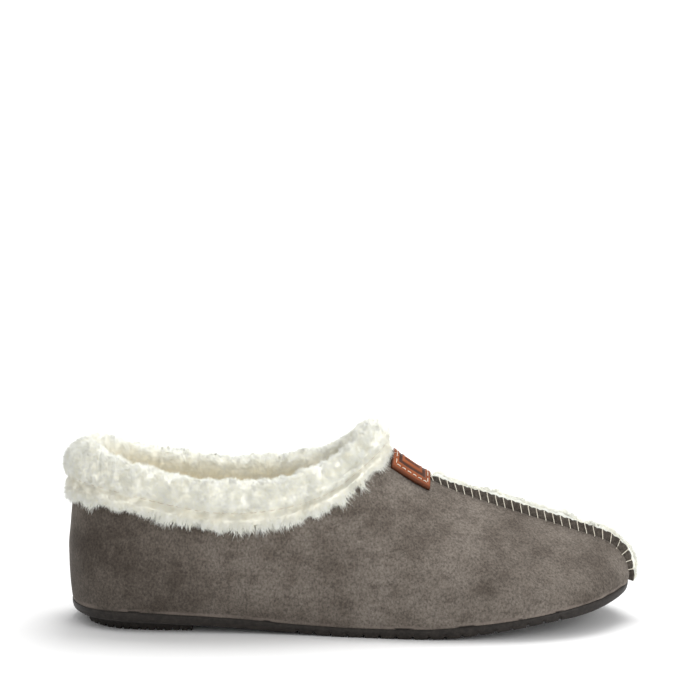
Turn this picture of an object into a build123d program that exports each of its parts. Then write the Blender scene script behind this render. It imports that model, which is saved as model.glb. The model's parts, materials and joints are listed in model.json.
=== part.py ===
from build123d import *
import os
import numpy as np

# Closed-back house slipper, right foot, about EU 38 to 39. Millimetres.
# Working frame: +X to the toe, +Y to the medial side, +Z up, X = 0 at the back of the sole,
# Z = 0 on the ground. At the end everything moves so that the origin is the middle of the
# bottom of the whole slipper's box.
#
# The upper is one smooth form, described by a point at (u, v) and a depth below its skin:
# u runs from the back of the heel (0) to the tip of the toe, one unit per station,
# v runs from the feather line, where the upper meets the sole (0), to the topline or to the
# raised seam along the centre of the vamp (1). Every layer of the upper is a patch of that form.

LATERAL, MEDIAL = -1, 1
SIDES = {"lateral": LATERAL, "medial": MEDIAL}

# ---------------------------------------------------------------- driving dimensions
SEAM_HALF_GAP = 2.3        # the suede halves stop this far from the centre plane along the vamp
BUTT_GAP = 0.1             # half the gap where two halves meet edge to edge
SOLE_MARGIN = 0.5          # the sole stands this far outside the feather line
MEDIAL_TRIM = 0.04         # the opening is this share narrower on the medial side

SUEDE = (0.0, 1.3)         # depths of the layers of the upper, from the skin inwards
SEAM_TAPE = (1.35, 1.65)
STIFFENER = (1.75, 2.8)
LINING = (3.1, 7.2)

# Stations: feather x, lateral y, medial y | top x, y, z | lower bulge, upper lean (degrees).
STATIONS = np.array([
    (0.0, 0.0, 0.0, 2.5, 0.0, 79.0, 5.0, 88),
    (7.0, 20.5, 19.5, 11.0, 18.0, 76.5, 5.0, 86),
    (27.0, 31.5, 29.0, 36.0, 28.0, 70.0, 5.0, 85),
    (64.0, 33.5, 28.5, 72.0, 31.0, 64.5, 5.0, 84),
    (98.0, 35.5, 29.0, 104.0, 27.5, 66.5, 5.0, 76),
    (120.0, 38.5, 32.5, 127.0, 17.5, 74.5, 5.0, 58),
    (137.0, 41.0, 36.0, 140.0, 2.3, 82.0, 5.0, 38),
    (155.0, 43.5, 40.0, 160.0, 2.3, 67.6, 5.0, 32),
    (177.0, 45.0, 43.5, 182.0, 2.3, 57.4, 5.0, 28),
    (205.0, 43.0, 43.0, 209.0, 2.3, 48.4, 4.5, 27),
    (229.0, 34.5, 36.5, 234.0, 2.3, 40.4, 4.0, 30),
    (244.3, 22.5, 25.5, 247.3, 2.3, 35.2, 3.0, 42),
    (252.8, 11.0, 12.5, 254.2, 2.3, 27.8, 2.0, 62),
    (255.4, 2.3, 2.3, 256.4, 2.3, 20.6, 1.0, 86),
])
THROAT = 6
TOE = len(STATIONS) - 1

# Side profile of the sole: x, z of its top (the feather line) and of its underside.
SOLE_TOP = ((-6, 9.4), (0, 9.4), (25, 9.8), (50, 8.8), (77, 7.3), (105, 5.2), (130, 4.5), (160, 4.9),
            (185, 7.0), (205, 9.3), (225, 12.0), (242, 14.6), (254, 17.2), (262, 19.6))
SOLE_BOTTOM = ((-6, 5.3), (0, 5.3), (25, 5.0), (50, 4.1), (75, 2.8), (105, 0.9), (125, 0.0), (150, 0.0),
               (170, 0.5), (190, 2.8), (215, 6.5), (235, 8.6), (250, 11.8), (262, 16.0))
TREAD_INSET, TREAD_THICK = 1.1, 1.4
SOLE_TIP = 3.0                          # half width of the blunt ends of the sole's pieces
HEEL_LIFT_OUTLINE = ((56, -27), (35, -26), (20, -22), (10.5, -13), (7, 0), (10.5, 12), (20, 19.5), (35, 22), (56, 22))
HEEL_GROOVE_X = (9.0, 54.5)
GROOVE = (1.2, 1.1)                     # width and depth of the tread grooves
HEEL_GROOVE_PITCH, TREAD_GROOVE_PITCH = 3.8, 7.4
TREAD_X = (104.0, 222.0)

FILLER = (3.2, 0.05, 1.0)               # inset from the sole's edge, low and high above the feather
BOARD = (3.2, 1.05, 2.4)
FOAM = (9.0, 2.45, 6.0)
SOCK = (10.2, 6.05, 9.0)

# Collar: at each step, the crest above the topline, the fringe's u, and its height z.
COLLAR_STEPS = np.array([
    (0.0, 7.0, 0.0, 56.5),
    (1.0, 7.2, 1.0, 57.0),
    (2.0, 5.8, 2.0, 53.5),
    (3.0, 5.5, 3.0, 47.5),
    (4.0, 6.2, 4.0, 51.0),
    (5.0, 8.5, 5.1, 59.5),
    (6.0, 10.5, 6.24, 76.0),
])
COLLAR_CLEAR = 0.8                      # the fringe hangs this far outside the suede
COLLAR_LOW_V = 0.88                     # how far down the lining the collar's inner edge reaches
# A section of the collar, along most of it and then at the throat. Against the wall: the share of the
# way from the fringe to the topline, and the height above the skin. Over the crest: the distance out
# from the topline, and the share of the crest's height.
COLLAR_WALL = np.array([
    ((0, 0.8), (0.03, 3.6), (0.22, 4.9), (0.42, 4.3), (0.70, 6.6)),
    ((0, 0.8), (0.03, 3.0), (0.22, 4.0), (0.42, 3.9), (0.70, 4.9)),
])
COLLAR_CREST = np.array([
    ((6.4, 0.15), (4.0, 0.75), (-0.5, 1.0), (-5.0, 0.8), (-9.0, 0.2)),
    ((5.6, 0.62), (3.6, 0.92), (-0.5, 1.0), (-5.0, 0.8), (-9.0, 0.2)),
])
COLLAR_BACK = (0.66, 0.33)              # the same shares, back down along the suede
CREASE = 3                              # the point of a collar section that the topstitching lies on
TOPLINE_TAPE = (-0.6, -0.2)

WELT_Y = (1.2, 2.2)
WELT_START, WELT_END = 6.45, TOE - 0.05
WELT_ROOT = 1.2                         # depth of the strips' roots below the skin
FLEECE_STRIP_Y = 1.1
FLEECE_ABOVE_WELT = 2.2
WHIP_PITCH, WHIP_WIDTH, WHIP_THICK = 3.95, 0.6, 0.5

TAG_X = (146.6, 163.6)
TAG_HALF_WIDTH = 9.0
TAG_CLEAR, TAG_THICK = 1.1, 1.3
THREAD_RADIUS = 0.35
TAG_STITCH, COLLAR_STITCH = 2.1, 3.2
WELT_FLAT, WELT_LOW, WELT_TALL, WELT_TOE = 0.45, 2.4, 4.0, 2.6   # heights of the strips above the skin


# ---------------------------------------------------------------- curves and the form
def spline(values, u, first=None, last=None):
    """A cubic through values at u = 0, 1, 2 ...; first and last are end slopes, or None."""
    y = np.asarray(values, float)
    count = len(y)
    rows, right = np.zeros((count, count)), np.zeros(count)
    for i in range(1, count - 1):
        rows[i, i - 1:i + 2] = 1, 4, 1
        right[i] = 6 * (y[i - 1] - 2 * y[i] + y[i + 1])
    rows[0, 0] = rows[-1, -1] = 1
    if first is not None:
        rows[0, :2] = 2, 1
        right[0] = 6 * (y[1] - y[0] - first)
    if last is not None:
        rows[-1, -2:] = 1, 2
        right[-1] = 6 * (last - y[-1] + y[-2])
    bend = np.linalg.solve(rows, right)
    u = np.asarray(u, float)
    k = np.clip(np.floor(u).astype(int), 0, count - 2)
    t, s = u - k, 1 - u + k
    return s * y[k] + t * y[k + 1] + ((s**3 - s) * bend[k] + (t**3 - t) * bend[k + 1]) / 6


def profile(points, x):
    """Height at x of a smooth line through the points that never overshoots them."""
    xs, zs = np.array(points, float).T
    secants = np.diff(zs) / np.diff(xs)
    before, after = secants[:-1], secants[1:]
    same = before * after > 0
    middle = np.where(same, 2 * before * after / np.where(same, before + after, 1), 0)
    slopes = np.concatenate([secants[:1], middle, secants[-1:]])
    x = np.clip(x, xs[0], xs[-1])
    k = np.clip(np.searchsorted(xs, x, side="right") - 1, 0, len(xs) - 2)
    span = xs[k + 1] - xs[k]
    t = (x - xs[k]) / span
    ends = zs[k] * (2 * t**3 - 3 * t**2 + 1) + zs[k + 1] * (3 * t**2 - 2 * t**3)
    return ends + span * (slopes[k] * (t**3 - 2 * t**2 + t) + slopes[k + 1] * (t**3 - t**2))


def unit(vectors):
    return vectors / np.linalg.norm(vectors, axis=-1, keepdims=True)


def smooth(t):
    t = np.clip(t, 0, 1)
    return t * t * (3 - 2 * t)


def feather(u, side):
    """The feather line, and its outward normal in plan (side = 1 is drawn on the +Y side)."""
    half_width = STATIONS[:, 2 if side == MEDIAL else 1]

    def plan(at):
        return spline(STATIONS[:, 0], at, 0, 0), spline(half_width, at)

    step = 1e-3
    (x0, y0), (x1, y1) = plan(u - step), plan(u + step)
    normal = unit(np.stack([y0 - y1, x1 - x0, 0 * x0], -1))
    x, y = plan(u)
    return np.stack([x, y, profile(SOLE_TOP, x)], -1), normal


def topline(u, side):
    """The top edge of the upper: around the opening, then along the centre of the vamp."""
    columns = []
    for column, start, end in ((3, 0, 4.0), (4, None, None), (5, 0, 4.0)):
        values = STATIONS[:, column]
        opening = spline(values[:THROAT + 1], np.minimum(u, THROAT), start, end)
        vamp = spline(values[THROAT:], np.maximum(u, THROAT) - THROAT)
        columns.append(np.where(u < THROAT, opening, vamp))
    if side == MEDIAL:
        columns[1] = columns[1] - MEDIAL_TRIM * np.maximum(columns[1] - SEAM_HALF_GAP, 0)
    return np.stack(columns, -1)


def skin(u, v, side):
    """Points of the outer skin: a cubic from feather line to topline at each u."""
    low, normal = feather(u, side)
    top = topline(u, side)
    bulge, lean = spline(STATIONS[:, 6], u)[:, None], np.radians(spline(STATIONS[:, 7], u))[:, None]
    up = np.array([0.0, 0.0, 1.0])
    sideways = normal.copy()
    sideways[:, 0] *= np.clip(THROAT + 1 - u, 0, 1)
    reach = 0.40 * np.linalg.norm(top - low, axis=-1, keepdims=True)
    rise = 0.36 * (top - low)[:, 2:]
    poles = (low, low + normal * bulge + up * rise,
             top + (unit(sideways) * np.cos(lean) - up * np.sin(lean)) * reach, top)
    v = np.asarray(v, float)[None, :, None]
    weights = ((1 - v)**3, 3 * v * (1 - v)**2, 3 * v**2 * (1 - v), v**3)
    points = sum(weight * pole[:, None, :] for weight, pole in zip(weights, poles))
    points[..., 1] *= side
    return points


def form(u, v, side, depth=0.0):
    """Grid of points at a depth below the skin. In the centre plane it stays in that plane."""
    u, v = np.atleast_1d(np.asarray(u, float)), np.atleast_1d(np.asarray(v, float))
    step = 1e-3
    un, vn = np.clip(u, step, TOE - 0.03), np.clip(v, step, 0.985)
    across = skin(un + step, vn, side) - skin(un - step, vn, side)
    upward = skin(un, vn + step, side) - skin(un, vn - step, side)
    normal = -side * unit(np.cross(across, upward))
    at_seam = np.clip(u - THROAT + 1, 0, 1)[:, None] * smooth((v - 0.7) / 0.3)[None, :]
    at_ends = np.clip(1 - u, 0, 1) + np.clip(u - TOE + 1, 0, 1)
    flatten = np.maximum(at_seam, at_ends[:, None])[..., None]
    direction = normal * np.where(np.arange(3) == 1, 1 - flatten, 1)
    direction = direction / (direction * normal).sum(-1, keepdims=True)
    points = skin(u, v, side) - direction * depth
    inner = smooth((depth - SUEDE[1]) / 0.15)
    toward_centre = (SEAM_HALF_GAP - BUTT_GAP) * inner * np.maximum(at_seam, np.clip(u - TOE + 1, 0, 1)[:, None])
    points[..., 1] -= side * toward_centre
    back_gap = BUTT_GAP * (1 - smooth(u / 0.5))[:, None]
    points[..., 1] += side * back_gap
    return points


# ---------------------------------------------------------------- solids
def vectors(points):
    return [Vector(*(float(c) for c in point)) for point in points]


def surface(grid):
    return Face.make_surface_from_array_of_points([vectors(row) for row in grid], tol=0.01)


def closed(faces):
    """The solid inside the faces, with its normals pointing out."""
    solid = Solid(Shell(faces))
    return solid if solid.volume > 0 else Solid(Shell([-face for face in faces]))


def patch(outer, inner):
    """The closed solid between two grids of points."""
    skins = [surface(outer), surface(inner)]
    edges = zip(skins[0].edges(), skins[1].edges())
    return closed(skins + [Face.make_surface_from_curves(a, b) for a, b in edges])


def layer(side, depths, u_range, v_range, columns=56, rows=13):
    u, v = np.linspace(*u_range, columns), np.linspace(*v_range, rows)
    return patch(form(u, v, side, depths[0]), form(u, v, side, depths[1]))


def around_heel(u_end, v, depth, columns):
    """A grid that runs from the lateral side round the heel to the medial side."""
    u = np.linspace(u_end, 0, columns)
    lateral, medial = form(u, v, LATERAL, depth), form(u[::-1], v, MEDIAL, depth)
    lateral[-1, :, 1] = 0
    return np.concatenate([lateral, medial[1:]])


def band(depths, u_end, v_range, columns, rows=13):
    """One piece of a layer that wraps round the heel."""
    v = np.linspace(*v_range, rows)
    return patch(around_heel(u_end, v, depths[0], columns), around_heel(u_end, v, depths[1], columns))


def strip(sections):
    """A solid along closed sections of equal point count, flat at both ends."""
    rails = [Spline(*vectors(rail)) for rail in np.swapaxes(np.array(sections), 0, 1)]
    walls = [Face.make_surface_from_curves(a, b) for a, b in zip(rails, rails[1:] + rails[:1])]
    ends = [Face(Wire.make_polygon(vectors(section), close=True)) for section in (sections[0], sections[-1])]
    return closed(walls + ends)


def thread(start, end):
    """One stitch: a short round bar from start to end."""
    start, end = Vector(*start), Vector(*end)
    along = end - start
    return Solid.make_cylinder(THREAD_RADIUS, along.length, Plane(origin=start, z_dir=along))


# ---------------------------------------------------------------- sole
def sole_plan(inset):
    """Matching points along both edges of the sole, moved inwards, where they run forward and are wide enough."""
    u = np.linspace(0.02, TOE, 400)
    usable = np.ones(len(u), bool)
    edges = []
    for side in (LATERAL, MEDIAL):
        points, normal = feather(u, side)
        edge = (points + normal * (SOLE_MARGIN - inset)) * (1, side, 0)
        usable &= (side * edge[:, 1] > SOLE_TIP) & (np.gradient(edge[:, 0]) > 0)
        edges.append(edge)
    unusable = np.flatnonzero(~usable)
    first = max(unusable[unusable < 200], default=-1) + 1
    last = min(unusable[unusable > 200], default=len(u)) - 1
    start = np.linspace(first, first + 60, 15)
    middle = np.linspace(first + 68, last - 40, 26)
    keep = np.round(np.concatenate([start, middle, np.linspace(last - 32, last, 9)])).astype(int)
    return edges[0][keep], edges[1][keep]


def sole_piece(inset, low, high):
    """A solid between two heights above the sole's edge, each a function of x."""
    lateral, medial = sole_plan(inset)
    corners = []
    for edge, height in ((lateral, low), (lateral, high), (medial, high), (medial, low)):
        corners.append(np.column_stack([edge[:, :2], height(edge[:, 0])]))
    return strip(list(np.swapaxes(corners, 0, 1)))


def along(points, rise=0.0):
    """The side profile through the points, moved up, as a function of x."""
    return lambda x: profile(points, x) + rise


def sole_layer(inset, low, high):
    """A sheet that follows the feather line between two heights above it."""
    return sole_piece(inset, along(SOLE_TOP, low), along(SOLE_TOP, high))


def grooves(x_range, pitch, base):
    """Bars across the sole that cut the tread grooves."""
    count = int((x_range[1] - x_range[0]) / pitch)
    bars = []
    for i in range(count + 1):
        x = x_range[0] + i * pitch
        bars.append(Pos(x, 0, float(base(x)) + GROOVE[1] - 2) * Box(GROOVE[0], 120, 4))
    return bars


def make_outsole():
    """A side wall over a slightly smaller tread with cross grooves."""
    wall = sole_piece(0, along(SOLE_BOTTOM, TREAD_THICK), along(SOLE_TOP))
    tread = sole_piece(TREAD_INSET, along(SOLE_BOTTOM), along(SOLE_BOTTOM, TREAD_THICK + 0.8))
    body = wall + tread
    for cut in grooves(TREAD_X, TREAD_GROOVE_PITCH, along(SOLE_BOTTOM)):
        body = body - cut
    return body.solid()


def make_heel_lift():
    """The separate wedge under the heel, flat on the ground, with its own grooves."""
    sides = Spline(*HEEL_LIFT_OUTLINE)
    plan = Face(Wire([sides, Line(sides @ 1, sides @ 0)]))
    top = [(x, -60, float(profile(SOLE_BOTTOM, x)) - 0.06) for x in np.linspace(0, 60, 9)]
    teeth = []
    for x in np.arange(HEEL_GROOVE_X[1], HEEL_GROOVE_X[0], -HEEL_GROOVE_PITCH):
        for edge, z in ((0.5, 0), (0.5, GROOVE[1]), (-0.5, GROOVE[1]), (-0.5, 0)):
            teeth.append((x + edge * GROOVE[0], -60, z))
    comb = Wire.make_polygon(top + [(60, -60, 0)] + teeth + [(0, -60, 0)], close=True)
    prism = extrude(Pos(0, 0, -1) * plan, 10, dir=(0, 0, 1))
    return (prism & extrude(Face(comb), 120, dir=(0, 1, 0))).solid()


# ---------------------------------------------------------------- collar
def height_to_v(u, side, height):
    """The v at which the skin reaches a height."""
    v = np.linspace(0, 1, 200)
    return float(np.interp(height, skin(np.array([u]), v, side)[0, :, 2], v))


def fringe_rail(side):
    """The fringe's v at each step: its height on the skin, up to the centre seam at the throat."""
    return [height_to_v(u, side, z) for _, _, u, z in COLLAR_STEPS[:-1]] + [1.0]


def collar_section(s, side, fringe_v):
    """Closed section of the collar over the topline at step s, from the fringe over the crest inwards."""
    crest = float(spline(COLLAR_STEPS[:, 1], s))
    fringe = np.array([float(spline(COLLAR_STEPS[:, 2], s)), float(spline(fringe_v, s))])
    edge = np.array([s, 1.0])

    def on_wall(t, depth):
        u, v = fringe + (edge - fringe) * t
        return form(u, v, side, depth)[0, 0]

    top = on_wall(1, 0)
    step = 1e-3
    ahead, behind = topline(np.array([s, max(s - step, 0)]), side)
    forward = ahead - behind if s > 0 else np.array([0.0, 1.0, 0.0])
    out = unit(np.array([-forward[1], forward[0], 0.0]))
    out[1] *= side
    if s > THROAT - step:
        out = np.array([1.0, 0.0, 0.0])
    up = np.array([0.0, 0.0, 1.0])
    near_throat = smooth(s - THROAT + 1)
    wall, over = (rows[0] + (rows[1] - rows[0]) * near_throat for rows in (COLLAR_WALL, COLLAR_CREST))
    points = [on_wall(share, -height) for share, height in wall]
    points += [top + reach * out + share * crest * up for reach, share in over]
    inner_wall = LINING[1] + 0.3
    points += [
        form(s, COLLAR_LOW_V + 0.03, side, inner_wall + 2.4)[0, 0], form(s, COLLAR_LOW_V, side, inner_wall)[0, 0],
        form(s, 1, side, inner_wall)[0, 0] + 0.4 * up, on_wall(1, -COLLAR_CLEAR) + 0.4 * up,
    ]
    points += [on_wall(share, -COLLAR_CLEAR) for share in COLLAR_BACK]
    if s > THROAT - step:
        points = [point * (1, 0, 1) + (0, side * 0.15, 0) for point in points]
    if s < step:
        points = [point * (1, 0, 1) for point in points]
    return points


def make_collar():
    sections = {}
    for side in (LATERAL, MEDIAL):
        samples = np.linspace(0, THROAT, 37)
        sections[side] = [collar_section(float(s), side, fringe_rail(side)) for s in samples]
    return strip(sections[LATERAL][::-1] + sections[MEDIAL][1:])


def make_collar_thread():
    """The topstitching that parts the pile above the fringe."""
    stitches = []
    for side in (LATERAL, MEDIAL):
        fringe_v = fringe_rail(side)
        sections = [collar_section(s, side, fringe_v) for s in np.linspace(0.1, 5.3, 120)]
        rail = np.array([section[CREASE] for section in sections])
        outward = unit(rail - np.array([section[-1] for section in sections]))
        stitches += stitch_line(rail, COLLAR_STITCH, outward * (THREAD_RADIUS + 0.6))
    return Compound(children=stitches)


# ---------------------------------------------------------------- centre seam and tag
def ridge(u):
    """The centre seam at u: the point, the direction along it and the normal, all in the centre plane."""
    u = np.atleast_1d(u)
    low, high = form(u, 1, LATERAL, 0)[:, 0], form(u, 1, LATERAL, -1)[:, 0]
    flat = np.array([1.0, 0.0, 1.0])
    normal = unit((high - low) * flat)
    tangent = np.stack([normal[:, 2], 0 * u, -normal[:, 0]], -1)
    return low * flat, tangent, normal


def welt_height(x):
    """The strips lie flat under the tag, then rise, and drop again at the very toe."""
    past = x - TAG_X[1]
    rise = WELT_FLAT + (WELT_LOW - WELT_FLAT) * smooth(past / 2.5) + (WELT_TALL - WELT_LOW) * smooth(past / 28)
    return rise - (WELT_TALL - WELT_TOE) * smooth((x - 252.5) / 4)


def seam_strip(y_low, y_high, extra):
    """A strip on edge along the centre seam, between two distances from the centre plane."""
    u = np.linspace(WELT_START, WELT_END, 60)
    points, _, normal = ridge(u)
    sections = []
    for point, up in zip(points, normal):
        high = float(welt_height(point[0])) + (extra if point[0] > TAG_X[1] + 1 else 0)
        corners = ((y_low, -WELT_ROOT), (y_high, -WELT_ROOT), (y_high, high), (y_low, high))
        sections.append([point + up * z + (0, y, 0) for y, z in corners])
    return strip(sections)


def make_welt(side):
    low, high = sorted(side * y for y in WELT_Y)
    return seam_strip(low, high, 0)


def make_seam_fleece():
    return seam_strip(-FLEECE_STRIP_Y, FLEECE_STRIP_Y, FLEECE_ABOVE_WELT)


def make_seam_thread():
    """Whip stitches: each runs up the outside of a welt and over its top into the fleece."""
    u = np.linspace(WELT_START, WELT_END, 1200)
    points, tangent, normal = ridge(u)
    distance = np.concatenate([[0], np.cumsum(np.linalg.norm(np.diff(points, axis=0), axis=1))])
    start = np.interp(TAG_X[1] + 2.2, points[:, 0], distance)
    stitches = []
    for at in np.arange(start, distance[-1] - 1.0, WHIP_PITCH):
        i = int(np.searchsorted(distance, at))
        high = float(welt_height(points[i, 0]))
        place = Location(Plane(origin=vectors([points[i]])[0], x_dir=tuple(tangent[i]), z_dir=tuple(normal[i])))
        for side in (LATERAL, MEDIAL):
            outer = WELT_Y[1] + 0.03
            up = Pos(0, side * (outer + WHIP_THICK / 2), (high + 0.3) / 2) * Box(WHIP_WIDTH, WHIP_THICK, high)
            width = outer + WHIP_THICK - WELT_Y[0]
            over = Pos(0, side * (WELT_Y[0] + width / 2), high + 0.33) * Box(WHIP_WIDTH, width, 0.5)
            stitches.append(place * (up + over).solid())
    return Compound(children=stitches)


def tag_point(along_tag, across_tag, height):
    """A point of the tag: 0 to 1 from the collar to the toe, -1 to 1 across, at a height above the skin."""
    u_all = np.linspace(THROAT, THROAT + 2, 400)
    x = TAG_X[0] + (TAG_X[1] - TAG_X[0]) * along_tag
    u = np.interp(x, topline(u_all, LATERAL)[:, 0], u_all)
    side = MEDIAL if across_tag > 0 else LATERAL
    y = abs(across_tag) * TAG_HALF_WIDTH
    if y < SEAM_HALF_GAP:
        point, _, normal = ridge(u)
        return point[0] + normal[0] * height + (0, side * y, 0)
    v = np.linspace(1, 0.3, 200)
    reach = np.abs(skin(np.array([u]), v, side)[0, :, 1])
    return form(u, np.interp(y, reach, v), side, -height)[0, 0]


def make_tag():
    across = np.linspace(-1, 1, 17)
    grids = []
    for height in (TAG_CLEAR + TAG_THICK, TAG_CLEAR):
        grids.append(np.array([[tag_point(a, b, height) for b in across] for a in np.linspace(0, 1, 9)]))
    return patch(*grids)


def stitch_line(rail, length, lift):
    """Short bars along a rail of points, with a gap of a third of a stitch between them."""
    rail = np.array(rail) + lift
    distance = np.concatenate([[0], np.cumsum(np.linalg.norm(np.diff(rail, axis=0), axis=1))])
    pitch = length * 4 / 3
    count = int(distance[-1] / pitch)
    stitches = []
    for i in range(count):
        ends = [distance[-1] * i / count, distance[-1] * i / count + length]
        first, last = (np.array([np.interp(at, distance, rail[:, k]) for k in range(3)]) for at in ends)
        stitches.append(thread(first, last))
    return stitches


def make_tag_thread():
    """A row of stitches just inside each edge of the tag."""
    margin_a, margin_b = 1.7 / 20, 1.7 / TAG_HALF_WIDTH
    lift = TAG_CLEAR + TAG_THICK + THREAD_RADIUS + 0.06
    runs = []
    for b in (-1 + margin_b, 1 - margin_b):
        runs.append([tag_point(a, b, lift) for a in np.linspace(margin_a + 0.04, 1 - margin_a - 0.04, 12)])
    for a in (margin_a, 1 - margin_a):
        runs.append([tag_point(a, b, lift) for b in np.linspace(-1 + margin_b + 0.06, 1 - margin_b - 0.06, 24)])
    stitches = []
    for run in runs:
        stitches += stitch_line(run, TAG_STITCH, 0)
    return Compound(children=stitches)


# ---------------------------------------------------------------- assembly
def build():
    nodes = {}
    nodes["outsole"] = make_outsole()
    nodes["heel_lift"] = make_heel_lift()
    nodes["sole_filler"] = sole_layer(*FILLER)
    nodes["insole_board"] = sole_layer(*BOARD)
    nodes["footbed_foam"] = sole_layer(*FOAM)
    nodes["footbed_sock"] = sole_layer(*SOCK)
    for name, side in SIDES.items():
        nodes[f"suede_{name}"] = layer(side, SUEDE, (0, TOE), (0.004, 1))
        nodes[f"interlining_{name}"] = layer(side, STIFFENER, (2.6, 9.9), (0.09, 0.985))
        nodes[f"toe_puff_{name}"] = layer(side, STIFFENER, (10.0, TOE - 0.1), (0.14, 0.985), columns=24)
        nodes[f"lining_{name}"] = layer(side, LINING, (0, TOE - 0.05), (0.09, 1))
        nodes[f"seam_welt_{name}"] = make_welt(side)
    nodes["heel_seam_tape"] = band(SEAM_TAPE, 0.35, (0.08, 0.8), 9)
    nodes["heel_counter"] = band(STIFFENER, 2.5, (0.09, 0.72), 25)
    nodes["topline_tape"] = band(TOPLINE_TAPE, THROAT - 0.1, (0.9, 0.998), 40, rows=4)
    nodes["fleece_collar"] = make_collar()
    nodes["collar_thread"] = make_collar_thread()
    nodes["seam_fleece"] = make_seam_fleece()
    nodes["seam_thread"] = make_seam_thread()
    nodes["leather_tag"] = make_tag()
    nodes["tag_thread"] = make_tag_thread()
    return nodes


def main():
    nodes = build()
    boxes = [shape.bounding_box() for shape in nodes.values()]
    low = np.min([tuple(box.min) for box in boxes], axis=0)
    high = np.max([tuple(box.max) for box in boxes], axis=0)
    middle = (low + high) / 2
    shift = Pos(-middle[0], -middle[1], -low[2])
    print("moved by", shift.position, "size", high - low)
    os.makedirs("parts", exist_ok=True)
    for name, shape in nodes.items():
        export_step(shift * shape, f"parts/{name}.step")


main()
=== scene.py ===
"""A fluffy house slipper: suede upper, turned-down fleece collar, whip-stitched seam, low rubber sole.

The upper is one smooth form in millimetres, the same as in the CAD: u runs from the back of the heel (0)
to the toe, one unit per station, v from the sole (0) to the topline or the centre seam (1), and depth
goes inwards from the skin. place() moves points from the form's own axes into the frame, in metres.
"""
import json
import math

import bpy
import numpy as np
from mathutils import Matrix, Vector


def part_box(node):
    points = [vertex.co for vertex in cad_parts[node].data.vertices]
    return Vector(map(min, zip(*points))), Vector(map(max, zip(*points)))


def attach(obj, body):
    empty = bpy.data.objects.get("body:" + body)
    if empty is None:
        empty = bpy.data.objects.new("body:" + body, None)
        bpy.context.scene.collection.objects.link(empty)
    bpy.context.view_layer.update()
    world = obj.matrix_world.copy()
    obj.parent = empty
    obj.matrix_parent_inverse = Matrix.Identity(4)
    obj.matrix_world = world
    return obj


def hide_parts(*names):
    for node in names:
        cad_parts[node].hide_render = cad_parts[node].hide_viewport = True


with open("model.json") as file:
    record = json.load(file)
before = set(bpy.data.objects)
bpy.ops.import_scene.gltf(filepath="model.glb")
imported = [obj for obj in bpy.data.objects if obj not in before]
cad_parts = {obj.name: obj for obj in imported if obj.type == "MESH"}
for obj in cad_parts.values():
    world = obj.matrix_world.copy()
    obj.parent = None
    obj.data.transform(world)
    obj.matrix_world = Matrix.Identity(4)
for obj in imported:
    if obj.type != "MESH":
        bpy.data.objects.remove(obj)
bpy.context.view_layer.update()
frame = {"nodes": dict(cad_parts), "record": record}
LATERAL, MEDIAL = -1, 1
SIDES = {"lateral": LATERAL, "medial": MEDIAL}
UP = np.array([0.0, 0.0, 1.0])

# ------------------------------------------------------------------ the form, as in the CAD
SEAM_HALF_GAP = 2.3
BUTT_GAP = 0.1
SOLE_MARGIN = 0.5
MEDIAL_TRIM = 0.04
SUEDE_DEPTH = 1.3

# Stations: feather x, lateral y, medial y | top x, y, z | lower bulge, upper lean (degrees).
STATIONS = np.array([
    (0.0, 0.0, 0.0, 2.5, 0.0, 79.0, 5.0, 88),
    (7.0, 20.5, 19.5, 11.0, 18.0, 76.5, 5.0, 86),
    (27.0, 31.5, 29.0, 36.0, 28.0, 70.0, 5.0, 85),
    (64.0, 33.5, 28.5, 72.0, 31.0, 64.5, 5.0, 84),
    (98.0, 35.5, 29.0, 104.0, 27.5, 66.5, 5.0, 76),
    (120.0, 38.5, 32.5, 127.0, 17.5, 74.5, 5.0, 58),
    (137.0, 41.0, 36.0, 140.0, 2.3, 82.0, 5.0, 38),
    (155.0, 43.5, 40.0, 160.0, 2.3, 67.6, 5.0, 32),
    (177.0, 45.0, 43.5, 182.0, 2.3, 57.4, 5.0, 28),
    (205.0, 43.0, 43.0, 209.0, 2.3, 48.4, 4.5, 27),
    (229.0, 34.5, 36.5, 234.0, 2.3, 40.4, 4.0, 30),
    (244.3, 22.5, 25.5, 247.3, 2.3, 35.2, 3.0, 42),
    (252.8, 11.0, 12.5, 254.2, 2.3, 27.8, 2.0, 62),
    (255.4, 2.3, 2.3, 256.4, 2.3, 20.6, 1.0, 86),
])
THROAT = 6
TOE = len(STATIONS) - 1
SOLE_TOP = ((-6, 9.4), (0, 9.4), (25, 9.8), (50, 8.8), (77, 7.3), (105, 5.2), (130, 4.5), (160, 4.9),
            (185, 7.0), (205, 9.3), (225, 12.0), (242, 14.6), (254, 17.2), (262, 19.6))
SOLE_BOTTOM = ((-6, 5.3), (0, 5.3), (25, 5.0), (50, 4.1), (75, 2.8), (105, 0.9), (125, 0.0), (150, 0.0),
               (170, 0.5), (190, 2.8), (215, 6.5), (235, 8.6), (250, 11.8), (262, 16.0))


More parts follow.
